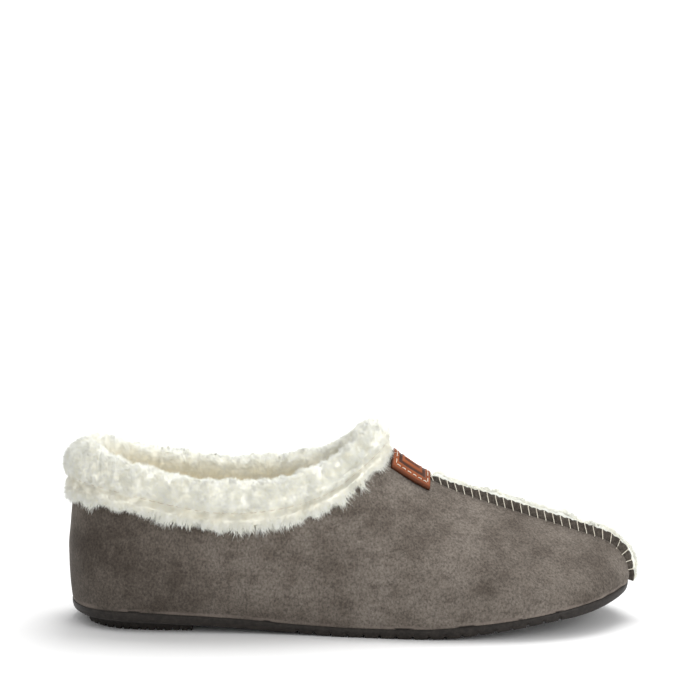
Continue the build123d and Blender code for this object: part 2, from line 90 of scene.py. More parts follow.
def spline(values, u, first=None, last=None):
    """A cubic through values at u = 0, 1, 2 ...; first and last are end slopes, or None."""
    y = np.asarray(values, float)
    count = len(y)
    rows, right = np.zeros((count, count)), np.zeros(y.shape)
    for i in range(1, count - 1):
        rows[i, i - 1:i + 2] = 1, 4, 1
        right[i] = 6 * (y[i - 1] - 2 * y[i] + y[i + 1])
    rows[0, 0] = rows[-1, -1] = 1
    if first is not None:
        rows[0, :2] = 2, 1
        right[0] = 6 * (y[1] - y[0] - first)
    if last is not None:
        rows[-1, -2:] = 1, 2
        right[-1] = 6 * (last - y[-1] + y[-2])
    bend = np.linalg.solve(rows, right.reshape(count, -1)).reshape(y.shape)
    u = np.asarray(u, float)
    k = np.clip(np.floor(u).astype(int), 0, count - 2)
    t = (u - k).reshape(u.shape + (1,) * (y.ndim - 1))
    s = 1 - t
    return s * y[k] + t * y[k + 1] + ((s**3 - s) * bend[k] + (t**3 - t) * bend[k + 1]) / 6


def profile(points, x):
    """Height at x of a smooth line through the points that never overshoots them."""
    xs, zs = np.array(points, float).T
    secants = np.diff(zs) / np.diff(xs)
    before, after = secants[:-1], secants[1:]
    same = before * after > 0
    middle = np.where(same, 2 * before * after / np.where(same, before + after, 1), 0)
    slopes = np.concatenate([secants[:1], middle, secants[-1:]])
    x = np.clip(x, xs[0], xs[-1])
    k = np.clip(np.searchsorted(xs, x, side="right") - 1, 0, len(xs) - 2)
    span = xs[k + 1] - xs[k]
    t = (x - xs[k]) / span
    ends = zs[k] * (2 * t**3 - 3 * t**2 + 1) + zs[k + 1] * (3 * t**2 - 2 * t**3)
    return ends + span * (slopes[k] * (t**3 - 2 * t**2 + t) + slopes[k + 1] * (t**3 - t**2))


def unit(vectors):
    return vectors / np.maximum(np.linalg.norm(vectors, axis=-1, keepdims=True), 1e-9)


def smooth(t):
    t = np.clip(t, 0, 1)
    return t * t * (3 - 2 * t)


def feather(u, side):
    """The line where the upper meets the sole, and its outward normal in plan."""
    half_width = STATIONS[:, 2 if side == MEDIAL else 1]

    def plan(at):
        return spline(STATIONS[:, 0], at, 0, 0), spline(half_width, at)

    step = 1e-3
    (x0, y0), (x1, y1) = plan(u - step), plan(u + step)
    normal = unit(np.stack([y0 - y1, x1 - x0, 0 * x0], -1))
    x, y = plan(u)
    return np.stack([x, y, profile(SOLE_TOP, x)], -1), normal


def topline(u, side):
    """The top edge of the upper: around the opening, then along the centre of the vamp."""
    columns = []
    for column, start, end in ((3, 0, 4.0), (4, None, None), (5, 0, 4.0)):
        values = STATIONS[:, column]
        opening = spline(values[:THROAT + 1], np.minimum(u, THROAT), start, end)
        vamp = spline(values[THROAT:], np.maximum(u, THROAT) - THROAT)
        columns.append(np.where(u < THROAT, opening, vamp))
    if side == MEDIAL:
        columns[1] = columns[1] - MEDIAL_TRIM * np.maximum(columns[1] - SEAM_HALF_GAP, 0)
    return np.stack(columns, -1)


def skin(u, v, side):
    """Points of the outer skin: a cubic from the sole to the topline at each u."""
    low, normal = feather(u, side)
    top = topline(u, side)
    bulge, lean = spline(STATIONS[:, 6], u)[:, None], np.radians(spline(STATIONS[:, 7], u))[:, None]
    sideways = normal.copy()
    sideways[:, 0] *= np.clip(THROAT + 1 - u, 0, 1)
    reach = 0.40 * np.linalg.norm(top - low, axis=-1, keepdims=True)
    rise = 0.36 * (top - low)[:, 2:]
    poles = (low, low + normal * bulge + UP * rise,
             top + (unit(sideways) * np.cos(lean) - UP * np.sin(lean)) * reach, top)
    v = np.asarray(v, float)[None, :, None]
    weights = ((1 - v)**3, 3 * v * (1 - v)**2, 3 * v**2 * (1 - v), v**3)
    points = sum(weight * pole[:, None, :] for weight, pole in zip(weights, poles))
    points[..., 1] *= side
    return points


def form(u, v, side, depth=0.0):
    """Grid of points at a depth below the skin. In the centre plane it stays in that plane."""
    u, v = np.atleast_1d(np.asarray(u, float)), np.atleast_1d(np.asarray(v, float))
    step = 1e-3
    un, vn = np.clip(u, step, TOE - 0.03), np.clip(v, step, 0.985)
    across = skin(un + step, vn, side) - skin(un - step, vn, side)
    upward = skin(un, vn + step, side) - skin(un, vn - step, side)
    normal = -side * unit(np.cross(across, upward))
    at_seam = np.clip(u - THROAT + 1, 0, 1)[:, None] * smooth((v - 0.7) / 0.3)[None, :]
    at_ends = np.clip(1 - u, 0, 1) + np.clip(u - TOE + 1, 0, 1)
    flatten = np.maximum(at_seam, at_ends[:, None])[..., None]
    inward = normal * np.where(np.arange(3) == 1, 1 - flatten, 1)
    inward = inward / (inward * normal).sum(-1, keepdims=True)
    depth = np.broadcast_to(depth, inward.shape[:2])
    points = skin(u, v, side) - inward * depth[..., None]
    toe_end = np.clip(u - TOE + 1, 0, 1)[:, None]
    past_suede = smooth((depth - SUEDE_DEPTH) / 0.15)
    points[..., 1] -= side * (SEAM_HALF_GAP - BUTT_GAP) * past_suede * np.maximum(at_seam, toe_end)
    points[..., 1] += side * BUTT_GAP * (1 - smooth(u / 0.5))[:, None]
    return points


def find_shift():
    """Where the form's own axes lie in the frame, in mm, from the boxes of the CAD nodes that follow it."""
    ours = np.concatenate([form(np.linspace(0, TOE, 300), np.linspace(0, 1, 60), side).reshape(-1, 3)
                           for side in SIDES.values()])
    boxes = [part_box(f"suede_{name}") for name in SIDES]
    low = np.min([box[0] for box in boxes], axis=0) * 1000
    high = np.max([box[1] for box in boxes], axis=0) * 1000
    shift = (low + high) / 2 - (ours.min(0) + ours.max(0)) / 2
    shift[2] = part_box("heel_lift")[0].z * 1000
    return shift


SHIFT = find_shift()


def place(points):
    return (np.asarray(points) + SHIFT) / 1000


# ------------------------------------------------------------------ noise and meshes
def hashed(cells, seed):
    """A repeatable number from -1 to 1 for each whole-numbered cell."""
    x, y, z = (cells[..., k].astype(np.int64) for k in range(3))
    mixed = (x * 73856093) ^ (y * 19349663) ^ (z * 83492791) ^ (seed * 2654435761)
    mixed = ((mixed ^ (mixed >> 13)) & 0xFFFFFF) * 1274126177
    return ((mixed ^ (mixed >> 16)) & 0xFFFF) / 32767.5 - 1


def noise(points, size, seed=0):
    """Smooth noise from about -1 to 1 whose lumps are about size across."""
    scaled = np.asarray(points) / size
    cell = np.floor(scaled)
    t = smooth(scaled - cell)
    total = 0
    for corner in np.ndindex(2, 2, 2):
        weight = np.prod(np.where(np.array(corner) == 1, t, 1 - t), axis=-1)
        total = total + weight * hashed(cell + corner, seed)
    return total


def mesh_piece(name, points, faces, slot, attributes=None, normals=None):
    """A new mesh from points in the form's axes and lists of equal faces, riding on the only body."""
    faces = [np.asarray(group) for group in faces]
    mesh = bpy.data.meshes.new(name)
    coords = place(points).astype(np.float32)
    mesh.vertices.add(len(coords))
    mesh.vertices.foreach_set("co", coords.ravel())
    loops = np.concatenate([group.ravel() for group in faces])
    sizes = np.concatenate([np.full(len(group), group.shape[1]) for group in faces])
    mesh.loops.add(len(loops))
    mesh.loops.foreach_set("vertex_index", loops.astype(np.int32))
    mesh.polygons.add(len(sizes))
    mesh.polygons.foreach_set("loop_start", (np.cumsum(sizes) - sizes).astype(np.int32))
    mesh.polygons.foreach_set("use_smooth", np.full(len(sizes), True))
    mesh.update(calc_edges=True)
    for key, values in (attributes or {}).items():
        attribute = mesh.attributes.new(key, "FLOAT", "POINT")
        attribute.data.foreach_set("value", np.asarray(values, np.float32).ravel())
    mesh.validate()
    if normals is not None:
        mesh.normals_split_custom_set_from_vertices(normals)
    piece = bpy.data.objects.new(name, mesh)
    bpy.context.scene.collection.objects.link(piece)
    mesh.materials.append(MATERIALS[slot])
    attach(piece, "root")
    return piece


def grid_faces(rows, columns, first=0, closed=False, flip=False):
    """Quads over a grid of points; closed joins the last column to the first."""
    index = first + np.arange(rows * columns).reshape(rows, columns)
    if closed:
        index = np.concatenate([index, index[:, :1]], axis=1)
    quads = np.stack([index[:-1, :-1], index[1:, :-1], index[1:, 1:], index[:-1, 1:]], -1).reshape(-1, 4)
    return quads[:, ::-1] if flip else quads


def shell_parts(outer, inner, flip=False):
    """Points and quads of the closed solid between two grids."""
    rows, columns = outer.shape[:2]
    count = rows * columns
    index = np.arange(count).reshape(rows, columns)
    border = np.concatenate([index[0, :-1], index[:-1, -1], index[-1, :0:-1], index[:0:-1, 0]])
    following = np.roll(border, -1)
    rim = np.stack([border, following, following + count, border + count], -1)
    quads = np.concatenate([grid_faces(rows, columns), grid_faces(rows, columns, count, flip=True), rim])
    return np.concatenate([outer.reshape(-1, 3), inner.reshape(-1, 3)]), quads[:, ::-1] if flip else quads


def grid_normals(grid):
    """Unit normals of a grid of points."""
    return unit(np.cross(np.gradient(grid, axis=0), np.gradient(grid, axis=1)))


def tube(path, radius, around=8):
    """Points and faces of a round closed tube along a path of points."""
    path = np.asarray(path, float)
    along = unit(np.gradient(path, axis=0))
    helper = np.where(np.abs(along[:, 2:]) > 0.9, (1.0, 0.0, 0.0), (0.0, 0.0, 1.0))
    side_way = unit(np.cross(along, helper))
    other = np.cross(along, side_way)
    angle = np.linspace(0, 2 * math.pi, around, endpoint=False)
    radii = np.full(len(path), radius)
    radii[[0, -1]] *= 0.45
    ring = side_way[:, None] * np.cos(angle)[None, :, None] + other[:, None] * np.sin(angle)[None, :, None]
    points = path[:, None] + ring * radii[:, None, None]
    quads = grid_faces(len(path), around, closed=True, flip=True)
    last = (len(path) - 1) * around
    caps = np.stack([np.arange(around)[::-1], last + np.arange(around)])
    return points.reshape(-1, 3), quads, caps


def join_tubes(paths, radius, around=8):
    """Many tubes as one set of points and faces."""
    points, quads, caps, first = [], [], [], 0
    for path in paths:
        p, q, c = tube(path, radius, around)
        points.append(p)
        quads.append(q + first)
        caps.append(c + first)
        first += len(p)
    return np.concatenate(points), [np.concatenate(quads), np.concatenate(caps)]


# ------------------------------------------------------------------ materials
def new_material(name):
    material = bpy.data.materials.new(name)
    material.use_nodes = True
    nodes, links = material.node_tree.nodes, material.node_tree.links
    return material, nodes, links, nodes["Principled BSDF"]


def object_noise(nodes, links, scale, detail=4.0, roughness=0.55, stretch=(1, 1, 1)):
    """Noise in the object's own space; scale is lumps per metre."""
    coords = nodes.new("ShaderNodeTexCoord")
    mapping = nodes.new("ShaderNodeMapping")
    mapping.inputs["Scale"].default_value = stretch
    links.new(coords.outputs["Object"], mapping.inputs["Vector"])
    texture = nodes.new("ShaderNodeTexNoise")
    texture.inputs["Scale"].default_value = scale
    texture.inputs["Detail"].default_value = detail
    texture.inputs["Roughness"].default_value = roughness
    links.new(mapping.outputs["Vector"], texture.inputs["Vector"])
    return texture.outputs["Fac"]


def ramp(nodes, links, value, stops):
    """A colour ramp over a value; stops are (position, colour)."""
    node = nodes.new("ShaderNodeValToRGB")
    elements = node.color_ramp.elements
    while len(elements) < len(stops):
        elements.new(0.5)
    for element, (position, colour) in zip(elements, stops):
        element.position = position
        element.color = (*colour, 1)
    links.new(value, node.inputs["Fac"])
    return node.outputs["Color"]


def mix(nodes, links, factor, first, second, blend="MIX"):
    """Mixes two colours; each may be a socket or a plain colour."""
    node = nodes.new("ShaderNodeMix")
    node.data_type = "RGBA"
    node.blend_type = blend
    for socket, value in ((node.inputs[0], factor), (node.inputs[6], first), (node.inputs[7], second)):
        if isinstance(value, bpy.types.NodeSocket):
            links.new(value, socket)
        elif isinstance(value, tuple):
            socket.default_value = (*value, 1)
        else:
            socket.default_value = value
    return node.outputs[2]


def bump(nodes, links, shader, height, strength, distance):
    node = nodes.new("ShaderNodeBump")
    node.inputs["Strength"].default_value = strength
    node.inputs["Distance"].default_value = distance
    links.new(height, node.inputs["Height"])
    links.new(node.outputs["Normal"], shader.inputs["Normal"])


def position_value(nodes, links, axis, low, high):
    """0 below the place low on the axis and 1 above high, in metres."""
    coords = nodes.new("ShaderNodeTexCoord")
    split = nodes.new("ShaderNodeSeparateXYZ")
    links.new(coords.outputs["Object"], split.inputs["Vector"])
    node = nodes.new("ShaderNodeMapRange")
    node.interpolation_type = "SMOOTHSTEP"
    node.inputs["From Min"].default_value = low
    node.inputs["From Max"].default_value = high
    links.new(split.outputs[axis], node.inputs["Value"])
    return node.outputs["Result"]


def suede_material(name, dark, base, light, painted_heel_shade):
    """Brushed microsuede: cloudy nap, fine fibre grain, painted shade at the heel and low down, and rubbed
    along the sole.
    """
    material, nodes, links, shader = new_material(name)
    broad = object_noise(nodes, links, 34, 5, 0.62)
    clouds = ramp(nodes, links, broad, ((0.36, dark), (0.50, base), (0.66, light)))
    marks = ramp(nodes, links, object_noise(nodes, links, 120, 4, 0.65, (1, 1, 1.6)),
                 ((0.36, (0.55,) * 3), (0.50, (0.0,) * 3)))
    blotched = mix(nodes, links, marks, clouds, dark)
    grain = ramp(nodes, links, object_noise(nodes, links, 1000, 3, 0.75, (1, 1, 0.8)),
                 ((0.34, (0.24,) * 3), (0.66, (0.76,) * 3)))
    grained = mix(nodes, links, 0.75, blotched, grain, "OVERLAY")
    # Painted shade: the heel end is multiplied darker, fading out towards the middle of the foot.
    heel = position_value(nodes, links, "X", -0.125, -0.015)
    heeled = mix(nodes, links, heel, mix(nodes, links, 1.0, grained, painted_heel_shade, "MULTIPLY"), grained)
    # Painted shade: the suede is multiplied darker towards the bottom, by 0.86 low down and not at all above 55
    # mm.
    high = position_value(nodes, links, "Z", 0.005, 0.055)
    toned = mix(nodes, links, high, mix(nodes, links, 1.0, heeled, (0.86, 0.86, 0.86), "MULTIPLY"), heeled)
    rubbed = nodes.new("ShaderNodeAttribute")
    rubbed.attribute_name = "rubbed"
    frayed = mix(nodes, links, rubbed.outputs["Fac"], toned, mix(nodes, links, 0.5, toned, (0.23, 0.19, 0.165)))
    glue = nodes.new("ShaderNodeAttribute")
    glue.attribute_name = "glue"
    glued = mix(nodes, links, glue.outputs["Fac"], frayed, (0.022, 0.018, 0.016))
    links.new(glued, shader.inputs["Base Color"])
    shader.inputs["Roughness"].default_value = 0.92
    shader.inputs["Specular IOR Level"].default_value = 0.15
    shader.inputs["Sheen Weight"].default_value = 0.16
    shader.inputs["Sheen Roughness"].default_value = 0.45
    shader.inputs["Sheen Tint"].default_value = (0.95, 0.9, 0.84, 1)
    bump(nodes, links, shader, object_noise(nodes, links, 1100, 3, 0.7), 0.5, 0.0004)
    return material


def fleece_material():
    """Cream faux shearling, whiter at the tips, with painted shade: a darker, warmer cream at the roots of the
    pile, in the topstitched crease and inside the shoe.

    A faint glow stands in for the light that passes through the fibres."""
    material, nodes, links, shader = new_material("fleece")
    curls = ramp(nodes, links, object_noise(nodes, links, 260, 3, 0.6),
                 ((0.3, (0.905, 0.905, 0.800)), (0.5, (0.935, 0.950, 0.880)), (0.68, (0.950, 0.970, 0.925))))
    painted_depth_shade = nodes.new("ShaderNodeAttribute")
    painted_depth_shade.attribute_name = "painted_depth_shade"
    # Painted shade: the attribute tints the fleece towards a darker, warmer cream at the roots of the pile, in
    # the topstitched crease and inside the shoe.
    toned = mix(nodes, links, painted_depth_shade.outputs["Fac"], curls, (0.935, 0.865, 0.680))
    links.new(toned, shader.inputs["Base Color"])
    links.new(toned, shader.inputs["Emission Color"])
    shader.inputs["Emission Strength"].default_value = 0.09
    shader.inputs["Roughness"].default_value = 0.95
    shader.inputs["Specular IOR Level"].default_value = 0.1
    shader.inputs["Sheen Weight"].default_value = 0.10
    shader.inputs["Sheen Roughness"].default_value = 0.5
    bump(nodes, links, shader, object_noise(nodes, links, 1300, 3, 0.7), 0.3, 0.0003)
    return material


def rubber_material():
    """Matt moulded rubber, greyer and rougher towards the ground, with dust in it."""
    material, nodes, links, shader = new_material("outsole_rubber")
    speckle = ramp(nodes, links, object_noise(nodes, links, 420, 4, 0.75), ((0.35, (0.012, 0.0095, 0.008)),
                   (0.55, (0.024, 0.0195, 0.0165)), (0.8, (0.042, 0.035, 0.030))))
    dust = ramp(nodes, links, object_noise(nodes, links, 260, 5, 0.8), ((0.58, (0.0,) * 3), (0.74, (0.5,) * 3)))
    low = position_value(nodes, links, "Z", 0.001, 0.0045)
    dusty = mix(nodes, links, low, mix(nodes, links, dust, speckle, (0.15, 0.135, 0.11)), speckle)
    links.new(dusty, shader.inputs["Base Color"])
    rough = nodes.new("ShaderNodeMapRange")
    rough.inputs["To Min"].default_value = 0.8
    rough.inputs["To Max"].default_value = 0.5
    links.new(low, rough.inputs["Value"])
    links.new(rough.outputs["Result"], shader.inputs["Roughness"])
    shader.inputs["Specular IOR Level"].default_value = 0.25
    bump(nodes, links, shader, object_noise(nodes, links, 900, 3, 0.7), 0.25, 0.0003)
    return material


def leather_material():
    """Waxed tan leather, darker where the mark and the edges are pressed."""
    material, nodes, links, shader = new_material("tag_leather")
    clouds = ramp(nodes, links, object_noise(nodes, links, 160, 4, 0.6),
                  ((0.3, (0.17, 0.042, 0.011)), (0.55, (0.27, 0.068, 0.017)), (0.8, (0.36, 0.100, 0.028))))
    pressed = nodes.new("ShaderNodeAttribute")
    pressed.attribute_name = "pressed"
    toned = mix(nodes, links, pressed.outputs["Fac"], clouds, (0.055, 0.017, 0.007))
    links.new(toned, shader.inputs["Base Color"])
    shader.inputs["Roughness"].default_value = 0.5
    shader.inputs["Specular IOR Level"].default_value = 0.25
    cells = nodes.new("ShaderNodeTexVoronoi")
    cells.inputs["Scale"].default_value = 1500
    cells.feature = "DISTANCE_TO_EDGE"
    coords = nodes.new("ShaderNodeTexCoord")
    links.new(coords.outputs["Object"], cells.inputs["Vector"])
    bump(nodes, links, shader, cells.outputs["Distance"], 0.3, 0.0002)
    return material


def simple_material(name, dark, light, scale, roughness, depth):
    """A material with a fine uneven grain, for threads, tapes, board and foam."""
    material, nodes, links, shader = new_material(name)
    grain = object_noise(nodes, links, scale, 4, 0.6)
    links.new(ramp(nodes, links, grain, ((0.3, dark), (0.7, light))), shader.inputs["Base Color"])
    shader.inputs["Roughness"].default_value = roughness
    shader.inputs["Sheen Weight"].default_value = 0.15
    bump(nodes, links, shader, grain, 0.4, depth)
    return material


MATERIALS = {
    # The last colour given to each suede is the painted shade multiplied in at the heel.
    "suede": suede_material("suede", (0.096, 0.079, 0.065), (0.158, 0.135, 0.114), (0.194, 0.168, 0.144),
                            (0.56, 0.545, 0.535)),
    # The seam strips' suede is darker than the panels: partly their own nap tone, partly painted shade of their
    # steep faces. It gets no painted heel shade.
    "welt_suede": suede_material("welt_suede", (0.042, 0.034, 0.028), (0.082, 0.070, 0.058),
                                 (0.120, 0.104, 0.087), (1.0, 1.0, 1.0)),
    "fleece": fleece_material(),
    "outsole_rubber": rubber_material(),
    "tag_leather": leather_material(),
    "thread": simple_material("thread", (0.62, 0.56, 0.44), (0.86, 0.82, 0.72), 1400, 0.8, 0.0003),
    "backing": simple_material("backing", (0.50, 0.48, 0.44), (0.68, 0.66, 0.62), 900, 0.95, 0.0003),
    "board": simple_material("board", (0.36, 0.27, 0.18), (0.55, 0.44, 0.31), 700, 0.9, 0.0003),
    "foam": simple_material("foam", (0.60, 0.58, 0.52), (0.78, 0.76, 0.70), 1600, 0.95, 0.0004),
    "tape": simple_material("tape", (0.20, 0.18, 0.16), (0.34, 0.31, 0.27), 1600, 0.9, 0.0003),
}


# ------------------------------------------------------------------ suede
def suede_relief(points, u, v):
    """How far the suede stands out: soft unevenness, lasting puckers by the sole and pull lines by the seam."""
    soft = 0.42 * noise(points, 24, 1) + 0.20 * noise(points, 9, 2) + 0.05 * noise(points, 3.2, 3)
    pucker_zone = smooth((0.16 - v) / 0.14)[None, :] * smooth((u - 8.5) / 2)[:, None]
    pucker = 0.28 * pucker_zone * np.sin(points[..., 0] * 1.05 + 2.2 * noise(points, 11, 4))
    near_top = smooth((v - 0.35) / 0.3)[None, :] * smooth((1 - v) / 0.06)[None, :]
    throat_zone = np.exp(-((u - 6.6) / 0.9)**2)[:, None] * near_top
    pull = 0.30 * throat_zone * noise(points * (0.5, 1.0, 1.6), 8, 5)
    hold = smooth((1 - v) / 0.04)[None, :] * smooth(v / 0.02)[None, :]
    return (soft + pucker + pull) * hold


def make_suede(name, side):
    u, v = np.linspace(0, TOE, 380), smooth(np.linspace(0.0, 1.0, 70)) * 0.55 + np.linspace(0, 1, 70) * 0.45
    flat = skin(u, v, side)
    outer = form(u, v, side, -suede_relief(flat, u, v) - 0.05)
    inner = form(u, v, side, 1.1)
    points, quads = shell_parts(outer, inner, flip=side == LATERAL)
    height = outer[..., 2] - outer[:, :1, 2]
    fray = 1 - smooth((height - 1.1 - 0.5 * noise(outer, 4, 6)) / 0.7)
    fray = fray * smooth(0.55 + 0.7 * noise(outer, 9, 7))
    spots = (1 - smooth((height - 0.5) / 0.5)) * smooth((noise(outer, 6, 8) - 0.25) / 0.2)
    attributes = {"rubbed": np.tile(fray.ravel(), 2), "glue": np.tile(spots.ravel(), 2)}
    piece = mesh_piece(f"suede_cover_{name}", points, [quads], "suede", attributes=attributes)
    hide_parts(f"suede_{name}")


# ------------------------------------------------------------------ sole
TREAD_GROOVES = (104.0, 222.0, 7.4, 1.1, 1.3)     # from x, to x, pitch, depth, width


def sole_rings():
    """Each ring of the sole: how far it is inside the sole's edge, and its height between bottom and top."""
    rings = [(4.0, 1.0, 0.0), (0.25, 1.0, 0.0), (0.0, 0.95, 0.0), (0.0, 0.62, 0.0), (0.12, 0.45, 0.0)]
    for angle in np.radians((0, 22, 45, 68, 90)):
        rings.append((0.25 + 1.5 * (1 - math.cos(angle)), 0.0, 1.5 * (1 - math.sin(angle))))
    rings += [(3.0, 0.0, 0.0), (6.0, 0.0, 0.0), (10.0, 0.0, 0.0)]
    return rings


def make_outsole():
    """Rings of points round the sole, from its top edge down the side wall and under, with tread grooves."""
    start, end, pitch, depth, width = TREAD_GROOVES
    u = np.concatenate([np.linspace(0.02, 2, 90, endpoint=False), np.linspace(2, 9.8, 330, endpoint=False),
                        np.linspace(9.8, TOE - 0.02, 160)])
    loops = []
    for inset, share, lift in sole_rings():
        halves = []
        for side in (LATERAL, MEDIAL):
            points, normal = feather(u, side)
            points = points + normal * (SOLE_MARGIN - inset)
            points[:, 1] = side * np.maximum(points[:, 1], 0.2)
            low, high = profile(SOLE_BOTTOM, points[:, 0]), profile(SOLE_TOP, points[:, 0])
            phase = np.abs((points[:, 0] - start + pitch / 2) % pitch - pitch / 2)
            inside = smooth((points[:, 0] - start + 3) / 2) * smooth((end + 3 - points[:, 0]) / 2)
            groove = depth * (1 - smooth((phase - width / 2 + 0.2) / 0.4)) * inside * (share < 0.3)
            points[:, 2] = low + share * (high - low) + lift + groove
            halves.append(points)
        loops.append(np.concatenate([halves[0], halves[1][::-1]]))
    grid = np.array(loops)
    rows, columns = grid.shape[:2]
    index = np.arange(rows * columns).reshape(rows, columns)
    quads = [grid_faces(rows, columns, closed=True)]
    half = columns // 2
    for row, order in ((0, 1), (rows - 1, -1)):
        lateral, medial = index[row, :half], index[row, half:][::-1]
        quads.append(np.stack([lateral[:-1], lateral[1:], medial[1:], medial[:-1]], -1)[:, ::order])
    piece = mesh_piece("outsole_moulding", grid.reshape(-1, 3), [np.concatenate(quads)], "outsole_rubber")
    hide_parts("outsole")


# ------------------------------------------------------------------ centre seam
TAG_X = (146.6, 163.6)
WELT_START, WELT_END = 6.45, TOE - 0.05
WELT_FLAT, WELT_LOW, WELT_TALL, WELT_TOE = 0.45, 2.4, 4.0, 2.6
WHIP_PITCH = 3.95
SEAM_TAIL, SEAM_TAIL_TURN = 3.4, 0.5      # the strips run on down the toe to the sole, turning under


def ridge(u):
    """The centre seam at u: the point, the direction along it and the normal, all in the centre plane."""
    u = np.atleast_1d(u)
    low, high = form(u, 1, LATERAL, 0)[:, 0], form(u, 1, LATERAL, -1)[:, 0]
    flat = np.array([1.0, 0.0, 1.0])
    normal = unit((high - low) * flat)
    tangent = np.stack([normal[:, 2], 0 * u, -normal[:, 0]], -1)
    return low * flat, tangent, normal


def welt_height(x):
    """The strips lie flat under the tag, then rise, and drop again at the very toe."""
    past = x - TAG_X[1]
    rise = WELT_FLAT + (WELT_LOW - WELT_FLAT) * smooth(past / 2.5) + (WELT_TALL - WELT_LOW) * smooth(past / 28)
    return rise - (WELT_TALL - WELT_TOE) * smooth((x - 252.5) / 4)


def seam_path():
    """The centre seam in fine steps: points, tangents, normals, distance along it, and where it is stitched."""
    points, tangents, normals = ridge(np.linspace(WELT_START, WELT_END, 900))
    start = math.atan2(-tangents[-1, 2], tangents[-1, 0])
    angles = start + np.linspace(0, SEAM_TAIL_TURN, 40)[1:]
    tail = np.stack([np.cos(angles), 0 * angles, -np.sin(angles)], -1)
    points = np.concatenate([points, points[-1] + np.cumsum(tail, axis=0) * (SEAM_TAIL / len(tail))])
    tangents = np.concatenate([tangents, tail])
    normals = np.concatenate([normals, np.stack([np.sin(angles), 0 * angles, np.cos(angles)], -1)])
    distance = np.concatenate([[0], np.cumsum(np.linalg.norm(np.diff(points, axis=0), axis=1))])
    first = np.interp(TAG_X[1] + 2.2, points[:, 0], distance)
    return points, tangents, normals, distance, np.arange(first, distance[-1] - 1.6, WHIP_PITCH)


def squeeze(distance, stitches):
    """1 under a whip stitch and 0 between two of them."""
    nearest = np.abs(distance[:, None] - stitches[None, :]).min(axis=1)
    return np.exp(-(nearest / 0.75)**2)


def make_welt(name, side):
    """The turned suede edge, pinched where each whip stitch holds it."""
    points, _, normal, distance, stitches = seam_path()
    pinch = squeeze(distance, stitches) * smooth((points[:, 0] - TAG_X[1]) / 3)
    high = welt_height(points[:, 0]) - 0.42 * pinch + 0.12 * noise(points, 2.5, 11)
    outer = 2.32 - 0.20 * pinch + 0.10 * noise(points, 3.0, 12 + side)
    corners = ((1.15, -1.2, 0), (2.15, -1.2, 0), (1, 0.0, 1), (1, 0.5, 1), (0.97, 0.82, 1), (0.84, 0.96, 1),
               (0.68, 1.0, 1), (0.55, 0.94, 1), (0.5, 0.7, 1))
    sections = []
    for y, z, relative in corners:
        across = outer * y if relative else np.full(len(points), y)
        level = high * z if relative else np.full(len(points), z)
        sections.append(points + normal * level[:, None] + np.outer(across * side, (0, 1, 0)))
    grid = np.swapaxes(sections, 0, 1)
    quads = grid_faces(len(points), len(corners), closed=True, flip=side == MEDIAL)
    ends = np.arange(len(corners))
    caps = np.stack([ends[::-1], ends + (len(points) - 1) * len(corners)])
    piece = mesh_piece(f"seam_edge_{name}", grid.reshape(-1, 3), [quads, caps], "welt_suede")
    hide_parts(f"seam_welt_{name}")


def make_whip_stitches():
    """Each stitch comes out of the suede, climbs the edge and goes over it into the fleece."""
    points, tangents, normals, distance, stitches = seam_path()
    paths = []
    for i, at in enumerate(stitches):
        toe_end = smooth((at - distance[-1] + 22) / 14)
        lean = 0.2 * float(hashed(np.array([i, 3, 5]), 21)) - 2.1 * (1 - toe_end)
        for side in (LATERAL, MEDIAL):
            here = int(np.searchsorted(distance, at))
            point, tangent, normal = points[here], tangents[here], normals[here]
            high = float(welt_height(point[0])) - 0.38
            route = ((2.75, -0.35, 0.0), (2.62, 0.15, 0.05), (2.42, high * 0.5, 0.5), (2.36, high * 0.9, 0.9),
                     (1.95, high + 0.18, 1.0), (1.45, high + 0.05, 1.0), (1.0, high - 0.6, 1.0))
            path = [point + normal * z + tangent * (lean * t) + np.array([0, side * y, 0]) for y, z, t in route]
            paths.append(spline(np.array(path), np.linspace(0, len(route) - 1, 13)))
    points, faces = join_tubes(paths, 0.22)
    piece = mesh_piece("whip_stitches", points, faces, "thread")
    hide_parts("seam_thread")


# ------------------------------------------------------------------ tag
TAG_LENGTH, TAG_HALF_WIDTH = 20.0, 9.7         # along the slope and across it
TAG_CLEAR, TAG_THICK = 1.1, 1.3
TAG_STITCH, TAG_STITCH_MARGIN = 2.0, 1.7


def tag_base():
    """The skin under the tag as a table: rows along the seam, columns across it."""
    x = np.linspace(*TAG_X, 61)
    u_all = np.linspace(THROAT, THROAT + 2, 600)
    u = np.interp(x, topline(u_all, LATERAL)[:, 0], u_all)
    across = np.linspace(-TAG_HALF_WIDTH, TAG_HALF_WIDTH, 73)
    v = np.linspace(1, 0.3, 240)
    low, high = np.zeros((61, 73, 3)), np.zeros((61, 73, 3))
    for side in (LATERAL, MEDIAL):
        for table, lift in ((low, 0.0), (high, 4.0)):
            grid = form(u, v, side, -lift)
            reach = np.abs(skin(u, v, side)[..., 1])
            for row in range(61):
                columns = np.flatnonzero(across * side >= 0)
                for k in range(3):
                    table[row, columns, k] = np.interp(np.abs(across[columns]), reach[row], grid[row, :, k])
    centre = np.abs(across) < SEAM_HALF_GAP
    for table in (low, high):
        table[:, centre, 1] = across[centre][None, :]
    return low, unit(high - low)


